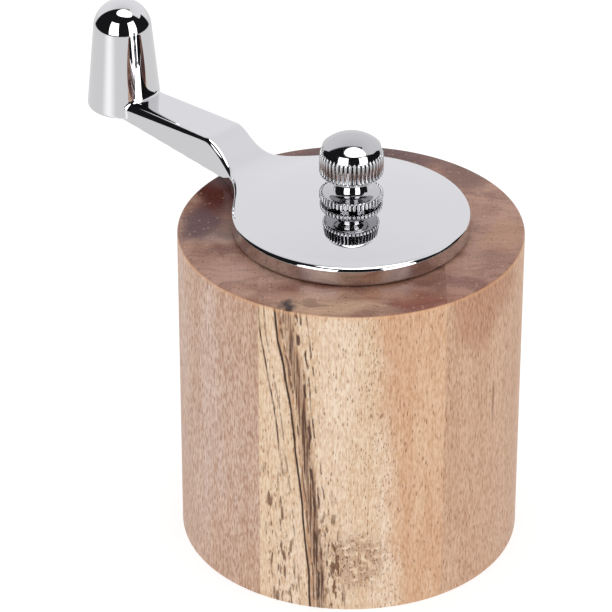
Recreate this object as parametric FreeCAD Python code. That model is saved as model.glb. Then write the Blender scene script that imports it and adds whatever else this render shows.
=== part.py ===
import FreeCAD
import Part
import math
import os

# Hand-cranked burr grinder in a turned wooden block. Millimetres, +Z up.
# Origin: centre of the flat base, on the mill's axis. The crank arm points along -X.

# ---------------------------------------------------------------- driving dimensions
BODY_R = 35.0            # turned block
BODY_H = 69.3
TOP_EDGE = 0.5           # eased edges of the block
FOOT_EDGE = 0.3
GRAIN_ANGLE = 44.1       # direction in which the three glued boards are stacked, from +X
GLUE_OFFSET = 18.4       # each glue line's distance from the axis
BORE_R = 17.0            # hopper bore

FIT = 0.1                # clearance between pieces that are assembled by hand
RUNNING = 0.05           # radial running clearance
THREAD_PITCH = 0.8       # M5 coarse
THREAD_R = 2.45
THREAD_CHAMFER = 0.6
NUT_TURNS = 2            # turns of the grind nut from coarsest to finest
ADJUST = NUT_TURNS * THREAD_PITCH    # how far that pulls the shaft up

DISC_R = 24.0            # crank casting: domed disc, arm and knob in one
DISC_GAP = 0.3           # air under the disc's rim
DISC_RIM = 3.96          # top of the rim above the block
DISC_CROWN = 6.72        # top of the dome above the block
RIM_EDGE_R = 1.0
LIP_OUT_R = 15.4         # locating lip under the disc, runs in the mouth ring
LIP_IN_R = 13.2
LIP_DEPTH = 3.0
BOSS_R = 6.5             # middle boss around the square hole
POCKET_TOP = 2.2         # cored ring between boss and lip, top above the block

ARM_W = 10.0
ARM_ROOT_R = 10.0        # hollow corner where the arm leaves the disc, seen from above
RISER_FOOT = 27.0        # where the arm starts to climb, from the axis
RISER_HEAD = 37.0        # where it has climbed
ARM_BEND_Z = 8.65        # heights above the block
ARM_END_Z = 7.95
ARM_FOOT_Z = 3.9
ARM_TIP_UNDER_Z = 4.3
KNOB_X = 66.1
KNOB_R = 7.85            # at its foot
KNOB_END_R = 6.1         # ball end, its centre's height above the block
KNOB_END_Z = 22.5
KNOB_EDGE_R = 0.8
KNOB_CORE_R = 5.4        # cored out from below
KNOB_CORE_TOP_R = 4.4
KNOB_CORE_Z = 22.0

NUT_FLANGE_R = 6.4       # grind nut, knurled
NUT_FLANGE_TOP = 8.37    # heights above the block
NUT_NECK_R = 3.5
NUT_NECK_TOP = 12.0
NUT_HEAD_R = 6.45
NUT_HEAD_FOOT = 13.05
NUT_HEAD_TOP = 18.1
NUT_APEX = 21.7
NUT_FLARE = 1.5          # hollow corner between flange and neck
NUT_FLANGE_EDGE = 0.3
NUT_SEAT = 0.03          # clearance under the flange
NUT_BORE_TOP = 18.6

SQUARE = 5.5             # drive shaft, square bar with turned-down corners
SQUARE_CORNER_R = 3.6
SHAFT_FOOT = 5.4
SQUARE_TOP = BODY_H + 4.7
SHAFT_TOP = BODY_H + 16.2

FLANGE_R = 23.6          # burr housing: flange, sleeve and stator seat
FLANGE_FOOT = 1.0
FLANGE_TOP = 3.2
RECESS_R = 24.0          # recess in the block's foot for the flange
RECESS_TOP = 3.3
SLEEVE_R = 16.9
SEAT_R = 14.6
THROAT_R = 13.6
SLEEVE_TOP = 30.4
SPIDER_TOP = 34.0        # three-armed shaft guide on top of the sleeve
SPIDER_HUB_R = 7.5
SPIDER_ARM_W = 3.0
BUSH_R = 4.85
BUSH_FLANGE_R = 6.6
BUSH_FLANGE_H = 0.75

ROTOR_FOOT = 5.0         # conical burr on the shaft
ROTOR_R = 11.0
ROTOR_BAND_H = 4.0       # fine grinding band
ROTOR_BAND_R = 10.0
ROTOR_H = 14.0
ROTOR_NOSE_R = 5.0
ROTOR_HOLE_R = 4.45
ROTOR_FLUTES = 10
ROTOR_FLUTE_R = 1.1
ROTOR_FLUTE_SWEEP = 35.0 # how far round a flute runs from foot to nose, in degrees
BURR_GAP = 0.3           # gap between the burrs at the finest setting
STATOR_R = 14.5          # ring burr in the housing
STATOR_MOUTH_R = 12.6
STATOR_FLUTES = 20
STATOR_FLUTE_R = 0.7
STATOR_FLUTE_LEAN = 2.5  # how far a flute leans sideways at its top
STATOR_FLUTE_FIRST = 9.0 # first flute's angle, so that flutes and keys don't meet
STATOR_FOOT = ROTOR_FOOT + ADJUST
STATOR_TOP = 19.6
KEY_W = 2.4
KEY_R = 15.4
KEYS = 3
RETAINER_FOOT = 4.9
RETAINER_IN_R = 12.3
RETAINER_NOTCHES = 4     # for a pin spanner
NOTCH_HALF = 1.0
NOTCH_DEPTH = 0.8

WIRE_R = 0.45            # spring that holds the rotor burr down
SPRING_R = 5.0
SPRING_TURNS = 4
WASHER_R = 6.5
WASHER_H = 0.8
LOWER_WASHER = ROTOR_FOOT + ROTOR_H
SPRING_FOOT = LOWER_WASHER + WASHER_H
SPRING_TOP = SLEEVE_TOP - BUSH_FLANGE_H - RUNNING - WASHER_H

CLIP_FOOT = SPIDER_TOP + 0.2
CLIP_H = 0.8
CLIP_R = 6.0
GROOVE_R = 3.0

DRIVER_HUB_R = 4.4       # steel driver that turns the rotor burr
DRIVER_HUB_H = 9.0
DRIVER_FLANGE_R = 7.0
DRIVER_FLANGE_H = 1.6
LUG_W = 3.0
LUG_OUT_R = 8.5
LUG_H = 1.5
SCREW_HEAD_R = 4.2
SCREW_HEAD_H = 1.8
SCREW_R = 1.5
SCREW_TOP = 12.0
SCREW_HEAD_EDGE = 0.5
CROSS_L = 4.0            # cross recess
CROSS_W = 0.8
CROSS_DEPTH = 0.9

FLANGE_SCREW_CIRCLE = 20.3
FLANGE_SCREW_R = 1.2
FLANGE_SCREW_HEAD_R = 2.6
FLANGE_SCREW_TOP = 12.0
FLANGE_CROSS_L = 3.2
FLANGE_CROSS_W = 0.6
FLANGE_CROSS_DEPTH = 0.8
SCREWS = 3               # in the flange, and again in the shaft guide
SPIDER_SCREW_CIRCLE = 15.25
SPIDER_SCREW_R = 0.9
SPIDER_SCREW_HEAD_R = 1.5
SPIDER_SCREW_HEAD_H = 1.1
SPIDER_SCREW_FOOT = 26.0

MOUTH_FLANGE_R = 21.0    # steel ring that lines the filling mouth
MOUTH_FLANGE_H = 1.2
MOUTH_IN_R = LIP_OUT_R + FIT
MOUTH_FOOT = 65.3

UP = FreeCAD.Vector(0, 0, 1)
ORIGIN = FreeCAD.Vector(0, 0, 0)


# ---------------------------------------------------------------- small helpers
def vec(x, y, z=0.0):
    return FreeCAD.Vector(x, y, z)


def tube(out_r, in_r, foot, top):
    """A plain ring about the axis; in_r of 0 makes it solid."""
    ring = Part.makeCylinder(out_r, top - foot, vec(0, 0, foot))
    if in_r:
        ring = ring.cut(Part.makeCylinder(in_r, top - foot, vec(0, 0, foot)))
    return ring


def turned(points):
    """A solid of revolution about Z from (radius, height) points."""
    outline = [vec(r, 0, z) for r, z in points]
    face = Part.Face(Part.makePolygon(outline + outline[:1]))
    return face.revolve(ORIGIN, UP, 360)


def block(x0, x1, y0, y1, z0, z1):
    return Part.makeBox(x1 - x0, y1 - y0, z1 - z0, vec(x0, y0, z0))


def square_bar(width, foot, top):
    return block(-width / 2, width / 2, -width / 2, width / 2, foot, top)


def turn(shape, degrees):
    copy = shape.copy()
    copy.rotate(ORIGIN, UP, degrees)
    return copy


def ring_of(shape, count, first=0.0):
    """The shape repeated round the axis."""
    return Part.makeCompound([turn(shape, first + 360.0 * i / count) for i in range(count)])


def circular_edges(shape, radius, height):
    """The shape's full-circle edges of this radius about the axis at this height."""
    found = []
    for edge in shape.Edges:
        if edge.Degenerated or not isinstance(edge.Curve, Part.Circle):
            continue
        centre = edge.Curve.Center
        if abs(edge.Curve.Radius - radius) < 1e-3 and abs(centre.z - height) < 1e-3:
            found.append(edge)
    return found


# ---------------------------------------------------------------- wooden block
def flange_screw_angle():
    """First screw's angle, chosen so that no screw meets a glue line."""
    return GRAIN_ANGLE + 60.0


def turned_block():
    """The whole block: bored through, with a recess below and a seat for the mouth ring."""
    seat = BODY_H + DISC_GAP - RUNNING - MOUTH_FLANGE_H
    solid = turned([
        (RECESS_R, 0),
        (BODY_R - FOOT_EDGE, 0),
        (BODY_R, FOOT_EDGE),
        (BODY_R, BODY_H - TOP_EDGE),
        (BODY_R - TOP_EDGE, BODY_H),
        (MOUTH_FLANGE_R + FIT, BODY_H),
        (MOUTH_FLANGE_R + FIT, seat),
        (BORE_R, seat),
        (BORE_R, RECESS_TOP),
        (RECESS_R, RECESS_TOP),
    ])
    pilot = Part.makeCylinder(FLANGE_SCREW_R, FLANGE_SCREW_TOP, vec(FLANGE_SCREW_CIRCLE, 0, 0))
    return solid.cut(ring_of(pilot, SCREWS, flange_screw_angle()))


def board(low, high):
    """The slice of the block between two planes square to the grain direction."""
    reach = 2 * BODY_R
    return turned_block().common(turn(block(low, high, -reach, reach, 0, BODY_H), GRAIN_ANGLE))


# ---------------------------------------------------------------- crank casting, nut
def disc():
    """Domed disc with a locating lip and a square hole; its crown is part of a sphere."""
    foot = BODY_H + DISC_GAP
    rise = DISC_CROWN - DISC_RIM
    dome_r = (DISC_R**2 + rise**2) / (2 * rise)
    dome = Part.makeSphere(dome_r, vec(0, 0, BODY_H + DISC_CROWN - dome_r))
    solid = tube(DISC_R, 0, foot, foot + 2 * DISC_CROWN).common(dome)
    solid = solid.makeFillet(RIM_EDGE_R, circular_edges(solid, DISC_R, BODY_H + DISC_RIM))
    solid = solid.fuse(tube(LIP_OUT_R, 0, foot - LIP_DEPTH, foot))
    return solid.cut(tube(LIP_IN_R, BOSS_R, foot - LIP_DEPTH, BODY_H + POCKET_TOP))


def arm():
    """Side profile of the arm, cut to its outline seen from above."""
    root = 20.0
    rim_under = DISC_GAP
    reach = RISER_HEAD - RISER_FOOT
    side = [
        Part.makeLine(vec(-root, 0, rim_under), vec(-root, 0, ARM_FOOT_Z)),
        Part.makeLine(vec(-root, 0, ARM_FOOT_Z), vec(-RISER_FOOT, 0, ARM_FOOT_Z)),
    ]
    climb = Part.BezierCurve()
    climb.setPoles([
        vec(-RISER_FOOT, 0, ARM_FOOT_Z),
        vec(-RISER_FOOT - 0.45 * reach, 0, ARM_FOOT_Z),
        vec(-RISER_HEAD + 0.40 * reach, 0, ARM_BEND_Z + 0.1),
        vec(-RISER_HEAD, 0, ARM_BEND_Z),
    ])
    side += [
        climb.toShape(),
        Part.makeLine(vec(-RISER_HEAD, 0, ARM_BEND_Z), vec(-KNOB_X, 0, ARM_END_Z)),
        Part.makeLine(vec(-KNOB_X, 0, ARM_END_Z), vec(-KNOB_X, 0, ARM_TIP_UNDER_Z)),
        Part.makeLine(vec(-KNOB_X, 0, ARM_TIP_UNDER_Z), vec(-DISC_R, 0, rim_under)),
        Part.makeLine(vec(-DISC_R, 0, rim_under), vec(-root, 0, rim_under)),
    ]
    profile = Part.Face(Part.Wire(side)).extrude(vec(0, 2 * DISC_R, 0))
    profile.translate(vec(0, -DISC_R, BODY_H))
    # plan: straight sides that open to the disc in hollow corners
    half = ARM_W / 2
    swing = DISC_R + ARM_ROOT_R
    centre_y = half + ARM_ROOT_R
    centre_x = -math.sqrt(swing**2 - centre_y**2)
    centre = vec(centre_x, centre_y)
    on_disc = centre * (DISC_R / swing)
    on_arm = vec(centre_x, half)
    halfway = centre + ((on_disc - centre) + (on_arm - centre)).normalize() * ARM_ROOT_R
    far_disc, far_arm, far_halfway = (vec(p.x, -p.y) for p in (on_disc, on_arm, halfway))
    inside = -10.0
    plan = [
        Part.Arc(on_disc, halfway, on_arm).toShape(),
        Part.makeLine(on_arm, vec(-KNOB_X, half)),
        Part.makeLine(vec(-KNOB_X, half), vec(-KNOB_X, -half)),
        Part.makeLine(vec(-KNOB_X, -half), far_arm),
        Part.Arc(far_arm, far_halfway, far_disc).toShape(),
        Part.makeLine(far_disc, vec(inside, far_disc.y)),
        Part.makeLine(vec(inside, far_disc.y), vec(inside, on_disc.y)),
        Part.makeLine(vec(inside, on_disc.y), on_disc),
    ]
    outline = Part.Face(Part.Wire(plan)).extrude(vec(0, 0, BODY_H + 4 * ARM_BEND_Z))
    return profile.common(outline)


def knob_body():
    """Tapered grip with a ball end that its side runs into without a corner."""
    foot = BODY_H + ARM_TIP_UNDER_Z
    centre = BODY_H + KNOB_END_Z
    low = vec(KNOB_R, 0, foot + KNOB_EDGE_R)
    drop = low.z - centre
    tangent = math.atan2(drop, low.x) + math.acos(KNOB_END_R / math.hypot(low.x, drop))

    def on_ball(angle):
        return vec(KNOB_END_R * math.cos(angle), 0, centre + KNOB_END_R * math.sin(angle))

    top = on_ball(math.pi / 2)
    wire = Part.Wire([
        Part.Arc(top, on_ball((tangent + math.pi / 2) / 2), on_ball(tangent)).toShape(),
        Part.makeLine(on_ball(tangent), low),
        Part.makeLine(low, vec(KNOB_R - KNOB_EDGE_R, 0, foot)),
        Part.makeLine(vec(KNOB_R - KNOB_EDGE_R, 0, foot), vec(0, 0, foot)),
        Part.makeLine(vec(0, 0, foot), top),
    ])
    grip = Part.Face(wire).revolve(ORIGIN, UP, 360)
    grip.translate(vec(-KNOB_X, 0, 0))
    return grip


def knob_core():
    foot = BODY_H + ARM_TIP_UNDER_Z - 1
    height = BODY_H + KNOB_CORE_Z - foot
    return Part.makeCone(KNOB_CORE_R, KNOB_CORE_TOP_R, height, vec(-KNOB_X, 0, foot))


def crank_handle():
    solid = disc().fuse([arm(), knob_body()]).cut(knob_core())
    hole = square_bar(SQUARE + 2 * FIT, BODY_H - 2 * LIP_DEPTH, BODY_H + 2 * DISC_CROWN)
    return solid.cut(hole)


def grind_nut():
    """Finial nut: flange, waisted neck, head with a domed top, blind threaded hole."""
    foot = BODY_H + DISC_CROWN + NUT_SEAT
    dome_h = NUT_APEX - NUT_HEAD_TOP
    solid = turned([
        (0, foot),
        (NUT_FLANGE_R, foot),
        (NUT_FLANGE_R, BODY_H + NUT_FLANGE_TOP),
        (NUT_NECK_R + NUT_FLARE, BODY_H + NUT_FLANGE_TOP + NUT_FLANGE_EDGE),
        (NUT_NECK_R + NUT_FLANGE_EDGE, BODY_H + NUT_FLANGE_TOP + NUT_FLARE),
        (NUT_NECK_R, BODY_H + NUT_NECK_TOP),
        (NUT_NECK_R, BODY_H + NUT_HEAD_FOOT),
        (NUT_HEAD_R, BODY_H + NUT_HEAD_FOOT),
        (NUT_HEAD_R, BODY_H + NUT_HEAD_TOP),
        (0, BODY_H + NUT_HEAD_TOP),
    ])
    dome_r = (NUT_HEAD_R**2 + dome_h**2) / (2 * dome_h)
    dome = Part.makeSphere(dome_r, vec(0, 0, BODY_H + NUT_APEX - dome_r))
    head = BODY_H + NUT_HEAD_TOP
    solid = solid.fuse(dome.common(tube(NUT_HEAD_R, 0, head - 0.5, head + 2 * dome_h)))
    return solid.cut(tube(THREAD_R + RUNNING, 0, foot - 1, BODY_H + NUT_BORE_TOP))


# ---------------------------------------------------------------- shaft and what it carries
def drive_shaft():
    """Square bar with a clip groove, a tapped foot and a threaded upper end."""
    bar = square_bar(SQUARE, SHAFT_FOOT, SQUARE_TOP)
    bar = bar.common(tube(SQUARE_CORNER_R, 0, SHAFT_FOOT, SQUARE_TOP))
    groove_foot = CLIP_FOOT - RUNNING
    groove = tube(2 * SQUARE, GROOVE_R, groove_foot, CLIP_FOOT + CLIP_H + RUNNING)
    thread_top = SHAFT_TOP - THREAD_CHAMFER
    bar = bar.cut(groove).fuse(tube(THREAD_R, 0, SQUARE_TOP - 1, thread_top))
    tip_r = THREAD_R - 0.5
    bar = bar.fuse(Part.makeCone(THREAD_R, tip_r, THREAD_CHAMFER, vec(0, 0, thread_top)))
    return bar.cut(tube(SCREW_R + RUNNING, 0, SHAFT_FOOT, SCREW_TOP + 0.5))


def shaft_clip():
    ring = tube(CLIP_R, GROOVE_R + RUNNING, CLIP_FOOT, CLIP_FOOT + CLIP_H)
    return ring.cut(block(0, 2 * CLIP_R, -GROOVE_R / 2, GROOVE_R / 2, CLIP_FOOT, CLIP_FOOT + CLIP_H))


def rotor_burr():
    """Cone with a fine band at its foot and slanted flutes that feed it."""
    foot = ROTOR_FOOT
    band = foot + ROTOR_BAND_H
    top = foot + ROTOR_H
    solid = turned([
        (ROTOR_HOLE_R, foot),
        (ROTOR_R, foot),
        (ROTOR_BAND_R, band),
        (ROTOR_NOSE_R, top),
        (ROTOR_HOLE_R, top),
    ])
    sweep = math.radians(ROTOR_FLUTE_SWEEP)
    low = vec(ROTOR_BAND_R + 0.6, 0, foot + 1)
    high = vec(ROTOR_NOSE_R * math.cos(sweep), ROTOR_NOSE_R * math.sin(sweep), top + 1)
    run = high - low
    flute = Part.makeCylinder(ROTOR_FLUTE_R, run.Length * 1.1, low, run)
    solid = solid.cut(ring_of(flute, ROTOR_FLUTES))
    slot = block(-LUG_OUT_R - FIT, LUG_OUT_R + FIT, -LUG_W / 2 - FIT, LUG_W / 2 + FIT,
                 foot, foot + LUG_H + FIT)
    return solid.cut(slot)


def rotor_driver():
    """Flanged sleeve with a square hole and two lugs that bite into the rotor burr."""
    foot = ROTOR_FOOT - DRIVER_FLANGE_H
    solid = tube(DRIVER_HUB_R, 0, foot, ROTOR_FOOT + DRIVER_HUB_H)
    solid = solid.fuse(tube(DRIVER_FLANGE_R, 0, foot, ROTOR_FOOT))
    bar = block(-LUG_OUT_R, LUG_OUT_R, -LUG_W / 2, LUG_W / 2, foot, ROTOR_FOOT + LUG_H)
    solid = solid.fuse(bar)
    return solid.cut(square_bar(SQUARE + 2 * RUNNING, foot - 1, ROTOR_FOOT + DRIVER_HUB_H + 1))


def rotor_screw():
    """Pan-head screw with a cross recess."""
    seat = ROTOR_FOOT - DRIVER_FLANGE_H
    foot = seat - SCREW_HEAD_H
    solid = tube(SCREW_HEAD_R, 0, foot, seat)
    solid = solid.makeChamfer(SCREW_HEAD_EDGE, circular_edges(solid, SCREW_HEAD_R, foot))
    solid = solid.fuse(tube(SCREW_R, 0, seat, SCREW_TOP))
    slot = block(-CROSS_L / 2, CROSS_L / 2, -CROSS_W / 2, CROSS_W / 2, foot, foot + CROSS_DEPTH)
    return solid.cut([slot, turn(slot, 90)])


def washer(foot):
    return tube(WASHER_R, 0, foot, foot + WASHER_H)


def thrust_washer():
    """Square-holed washer under the bush: it turns with the shaft and lets it slide."""
    return washer(SPRING_TOP).cut(square_bar(SQUARE + 2 * FIT, SPRING_TOP, SPRING_TOP + WASHER_H))


def lower_spring_washer():
    hole = tube(SQUARE_CORNER_R + FIT, 0, LOWER_WASHER, SPRING_FOOT)
    return washer(LOWER_WASHER).cut(hole)


def spring():
    """Round wire in a helix, with its ends just clear of the two washers."""
    seat = WIRE_R + RUNNING
    height = SPRING_TOP - SPRING_FOOT - 2 * seat
    helix = Part.makeHelix(height / SPRING_TURNS, height, SPRING_R)
    helix.translate(vec(0, 0, SPRING_FOOT + seat))
    section = Part.Wire(Part.makeCircle(WIRE_R, vec(SPRING_R, 0, SPRING_FOOT + seat), vec(0, 1, 0)))
    return Part.Wire(helix).makePipeShell([section], True, True)


# ---------------------------------------------------------------- pieces fixed in the block
def burr_housing():
    """Flanged sleeve: holds the ring burr below and the shaft guide on top."""
    solid = tube(SLEEVE_R, 0, FLANGE_FOOT, SLEEVE_TOP)
    solid = solid.fuse(tube(FLANGE_R, 0, FLANGE_FOOT, FLANGE_TOP))
    solid = solid.cut(tube(SEAT_R, 0, FLANGE_FOOT, STATOR_TOP + FIT))
    solid = solid.cut(tube(THROAT_R, 0, STATOR_TOP, SLEEVE_TOP))
    slot = block(0, KEY_R + FIT, -KEY_W / 2 - FIT, KEY_W / 2 + FIT, FLANGE_FOOT, STATOR_TOP + FIT)
    solid = solid.cut(ring_of(slot, KEYS))
    solid = solid.cut(flange_screws(FIT))
    return solid.cut(spider_screws(FIT))


def stator_burr():
    """Ring burr: fine band parallel to the rotor's, opening upwards, keyed outside."""
    band = STATOR_FOOT + ROTOR_BAND_H
    solid = turned([
        (ROTOR_R + BURR_GAP, STATOR_FOOT),
        (STATOR_R, STATOR_FOOT),
        (STATOR_R, STATOR_TOP),
        (STATOR_MOUTH_R, STATOR_TOP),
        (ROTOR_BAND_R + BURR_GAP, band),
    ])
    key = block(STATOR_R - 0.5, KEY_R, -KEY_W / 2, KEY_W / 2, STATOR_FOOT, STATOR_TOP)
    solid = solid.fuse(ring_of(key, KEYS).Solids)
    low = vec(ROTOR_BAND_R + 0.5, 0, band - 1)
    high = vec(STATOR_MOUTH_R + 0.1, -STATOR_FLUTE_LEAN, STATOR_TOP + 1)
    run = high - low
    flute = Part.makeCylinder(STATOR_FLUTE_R, run.Length * 1.1, low, run)
    return solid.cut(ring_of(flute, STATOR_FLUTES, STATOR_FLUTE_FIRST))


def burr_retainer():
    """Ring that closes the housing under the ring burr, with four spanner notches."""
    top = STATOR_FOOT - RUNNING
    solid = tube(SEAT_R - RUNNING, RETAINER_IN_R, RETAINER_FOOT, top)
    notch = block(RETAINER_IN_R - NOTCH_HALF, RETAINER_IN_R + NOTCH_HALF, -NOTCH_HALF, NOTCH_HALF,
                  RETAINER_FOOT, RETAINER_FOOT + NOTCH_DEPTH)
    return solid.cut(ring_of(notch, RETAINER_NOTCHES))


def guide_spider():
    """Ring with three arms and a hub; the beans fall between the arms."""
    height = SPIDER_TOP - SLEEVE_TOP
    solid = tube(SLEEVE_R, THROAT_R, SLEEVE_TOP, SPIDER_TOP)
    arm_box = block(0, THROAT_R + 1, -SPIDER_ARM_W / 2, SPIDER_ARM_W / 2, SLEEVE_TOP, SPIDER_TOP)
    arms = ring_of(arm_box, 3).Solids
    solid = solid.fuse(arms + [Part.makeCylinder(SPIDER_HUB_R, height, vec(0, 0, SLEEVE_TOP))])
    solid = solid.cut(tube(BUSH_R + RUNNING, 0, SLEEVE_TOP, SPIDER_TOP))
    return solid.cut(spider_screws(FIT))


def guide_bush():
    solid = tube(BUSH_R, 0, SLEEVE_TOP - BUSH_FLANGE_H, SPIDER_TOP)
    solid = solid.fuse(tube(BUSH_FLANGE_R, 0, SLEEVE_TOP - BUSH_FLANGE_H, SLEEVE_TOP))
    return solid.cut(tube(SQUARE_CORNER_R + RUNNING, 0, SLEEVE_TOP - 1, SPIDER_TOP))


def mouth_ring():
    top = BODY_H + DISC_GAP - RUNNING
    solid = tube(BORE_R - FIT, 0, MOUTH_FOOT, top)
    solid = solid.fuse(tube(MOUTH_FLANGE_R, 0, top - MOUTH_FLANGE_H, top))
    return solid.cut(tube(MOUTH_IN_R, 0, MOUTH_FOOT, top))


def flange_screws(extra=0.0):
    """Three countersunk screws up through the flange; extra widens them into holes."""
    head_r = FLANGE_SCREW_HEAD_R + extra
    shank_r = FLANGE_SCREW_R - RUNNING + extra
    taper = head_r - shank_r
    head = Part.makeCone(head_r, shank_r, taper, vec(FLANGE_SCREW_CIRCLE, 0, FLANGE_FOOT))
    length = FLANGE_SCREW_TOP - FLANGE_FOOT - 0.5
    shank = Part.makeCylinder(shank_r, length, vec(FLANGE_SCREW_CIRCLE, 0, FLANGE_FOOT))
    screw = head.fuse(shank).removeSplitter()
    if not extra:
        slot = block(-FLANGE_CROSS_L / 2, FLANGE_CROSS_L / 2, -FLANGE_CROSS_W / 2,
                     FLANGE_CROSS_W / 2, FLANGE_FOOT, FLANGE_FOOT + FLANGE_CROSS_DEPTH)
        slot.translate(vec(FLANGE_SCREW_CIRCLE, 0, 0))
        cross = slot.copy()
        cross.rotate(vec(FLANGE_SCREW_CIRCLE, 0, 0), UP, 90)
        screw = screw.cut([slot, cross])
    return ring_of(screw, SCREWS, flange_screw_angle())


def spider_screws(extra=0.0):
    """Three small screws that hold the guide on the sleeve, between its arms."""
    place = vec(SPIDER_SCREW_CIRCLE, 0, SPIDER_SCREW_FOOT)
    shank = Part.makeCylinder(SPIDER_SCREW_R + extra, SPIDER_TOP - SPIDER_SCREW_FOOT, place)
    if extra:
        return ring_of(shank, SCREWS, 180.0 / SCREWS)
    head_at = vec(SPIDER_SCREW_CIRCLE, 0, SPIDER_TOP)
    head = Part.makeCylinder(SPIDER_SCREW_HEAD_R, SPIDER_SCREW_HEAD_H, head_at)
    return ring_of(shank.fuse(head), SCREWS, 180.0 / SCREWS)


# ---------------------------------------------------------------- write the pieces
PIECES = {
    "body_board_left": lambda: board(-2 * BODY_R, -GLUE_OFFSET),
    "body_board_centre": lambda: board(-GLUE_OFFSET, GLUE_OFFSET),
    "body_board_right": lambda: board(GLUE_OFFSET, 2 * BODY_R),
    "mouth_ring": mouth_ring,
    "burr_housing": burr_housing,
    "flange_screws": flange_screws,
    "stator_burr": stator_burr,
    "burr_retainer": burr_retainer,
    "guide_spider": guide_spider,
    "spider_screws": spider_screws,
    "guide_bush": guide_bush,
    "thrust_washer": thrust_washer,
    "spring": spring,
    "lower_spring_washer": lower_spring_washer,
    "drive_shaft": drive_shaft,
    "shaft_clip": shaft_clip,
    "rotor_burr": rotor_burr,
    "rotor_driver": rotor_driver,
    "rotor_screw": rotor_screw,
    "crank_handle": crank_handle,
    "grind_nut": grind_nut,
}

os.makedirs("parts", exist_ok=True)
for name, make in PIECES.items():
    shape = make()
    solids = shape.Solids
    shape = solids[0] if len(solids) == 1 else Part.makeCompound(solids)
    shape.exportStep(f"parts/{name}.step")
    print(f"{name}: {len(solids)} solid(s), {shape.Volume:.0f} mm3, valid {shape.isValid()}")
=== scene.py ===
import math

import bmesh
import bpy
import numpy as np
from mathutils import Matrix, Vector


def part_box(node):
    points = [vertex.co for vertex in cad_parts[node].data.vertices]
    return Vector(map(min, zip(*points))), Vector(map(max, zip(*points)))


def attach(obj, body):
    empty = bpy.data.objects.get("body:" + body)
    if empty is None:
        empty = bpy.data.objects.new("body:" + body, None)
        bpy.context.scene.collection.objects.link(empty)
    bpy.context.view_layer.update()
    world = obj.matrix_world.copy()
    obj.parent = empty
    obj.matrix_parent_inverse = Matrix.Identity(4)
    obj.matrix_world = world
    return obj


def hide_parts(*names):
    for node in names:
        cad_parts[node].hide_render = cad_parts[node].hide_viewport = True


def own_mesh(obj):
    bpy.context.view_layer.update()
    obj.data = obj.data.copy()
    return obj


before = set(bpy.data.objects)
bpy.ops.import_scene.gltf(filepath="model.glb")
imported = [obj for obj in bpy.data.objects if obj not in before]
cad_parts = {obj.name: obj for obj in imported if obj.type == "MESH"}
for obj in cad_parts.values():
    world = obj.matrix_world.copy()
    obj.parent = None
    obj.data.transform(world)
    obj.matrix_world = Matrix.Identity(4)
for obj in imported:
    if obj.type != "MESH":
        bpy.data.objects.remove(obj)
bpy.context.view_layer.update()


# ---------------------------------------------------------------- the studio
# A plain pale sweep under a white tent. The front of the tent is open: there a dark room
# holds two upright strip lights and an oval lamp, which only polished metal shows plainly.
VIEW_AZIMUTH = math.radians(44.12)
VIEW_ELEVATION = math.radians(30.71)
VIEW_DISTANCE = 0.7276
AIM = (-0.0065, -0.0063, 0.0509)
LENS = 209.9
SENSOR_WIDTH = 36.0
NEAREST = 0.05
LAMP_WHITE = (3.6, 3.6, 3.6, 1)
DARK_WALL = (0.012, 0.012, 0.013, 1)
TENT_SIDE, TENT_ROOF = (0.97, 0.97, 0.99, 1), (0.80, 0.80, 0.82, 1)
TABLE_DIM, TABLE_LIT = (0.84, 0.84, 0.84, 1), (1.30, 1.30, 1.30, 1)
SOFT_SIDE, SOFT_ROOF = (0.93, 0.93, 0.94, 1), (1.05, 1.05, 1.06, 1)
BACKDROP = (1.0, 1.0, 1.0, 1)
STRIP_SOFTNESS = math.radians(0.8)

camera = bpy.data.objects.new("camera", bpy.data.cameras.new("camera"))
bpy.context.scene.collection.objects.link(camera)
bpy.context.scene.camera = camera
camera.data.lens = LENS
camera.data.sensor_width = SENSOR_WIDTH
camera.data.clip_start = NEAREST
towards_camera = Vector((
    math.sin(VIEW_AZIMUTH) * math.cos(VIEW_ELEVATION),
    -math.cos(VIEW_AZIMUTH) * math.cos(VIEW_ELEVATION),
    math.sin(VIEW_ELEVATION),
))
camera.location = Vector(AIM) + towards_camera * VIEW_DISTANCE
camera.rotation_mode = "QUATERNION"
camera.rotation_quaternion = (-towards_camera).to_track_quat("-Z", "Y")
bpy.context.scene.view_settings.view_transform = "Standard"


def node(tree, kind, inputs=(), out=0, **settings):
    """Adds a shader node; each input is a number, a colour or another node's output."""
    made = tree.nodes.new(kind if kind.startswith("Geometry") else "ShaderNode" + kind)
    for key, value in settings.items():
        setattr(made, key, value)
    for key, value in dict(inputs).items():
        if isinstance(value, bpy.types.NodeSocket):
            tree.links.new(value, made.inputs[key])
        else:
            made.inputs[key].default_value = value
    return made.outputs[out] if made.outputs else made


def calc(tree, operation, a, b=0.0, c=0.0):
    return node(tree, "Math", {0: a, 1: b, 2: c}, operation=operation)


def fade(tree, value, start, end, low=0.0, high=1.0):
    """A soft step from low to high as value goes from start to end."""
    return node(tree, "MapRange", {
        "Value": value, "From Min": start, "From Max": end, "To Min": low, "To Max": high,
    }, interpolation_type="SMOOTHSTEP")


def blend(tree, share, a, b, mode="MIX"):
    """Mixes two colours; share is a number or an output."""
    return node(tree, "Mix", {0: share, 6: a, 7: b}, out=2, data_type="RGBA", blend_type=mode)


def inside(tree, value, low, high, soft):
    """1 between low and high, 0 outside, with soft ends."""
    rise = fade(tree, value, low - soft, low + soft)
    fall = fade(tree, value, high - soft, high + soft, 1.0, 0.0)
    return calc(tree, "MULTIPLY", rise, fall)


world = bpy.data.worlds.new("studio")
bpy.context.scene.world = world
world.use_nodes = True
air = world.node_tree
air.nodes.clear()
direction = node(air, "TexCoord")


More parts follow.
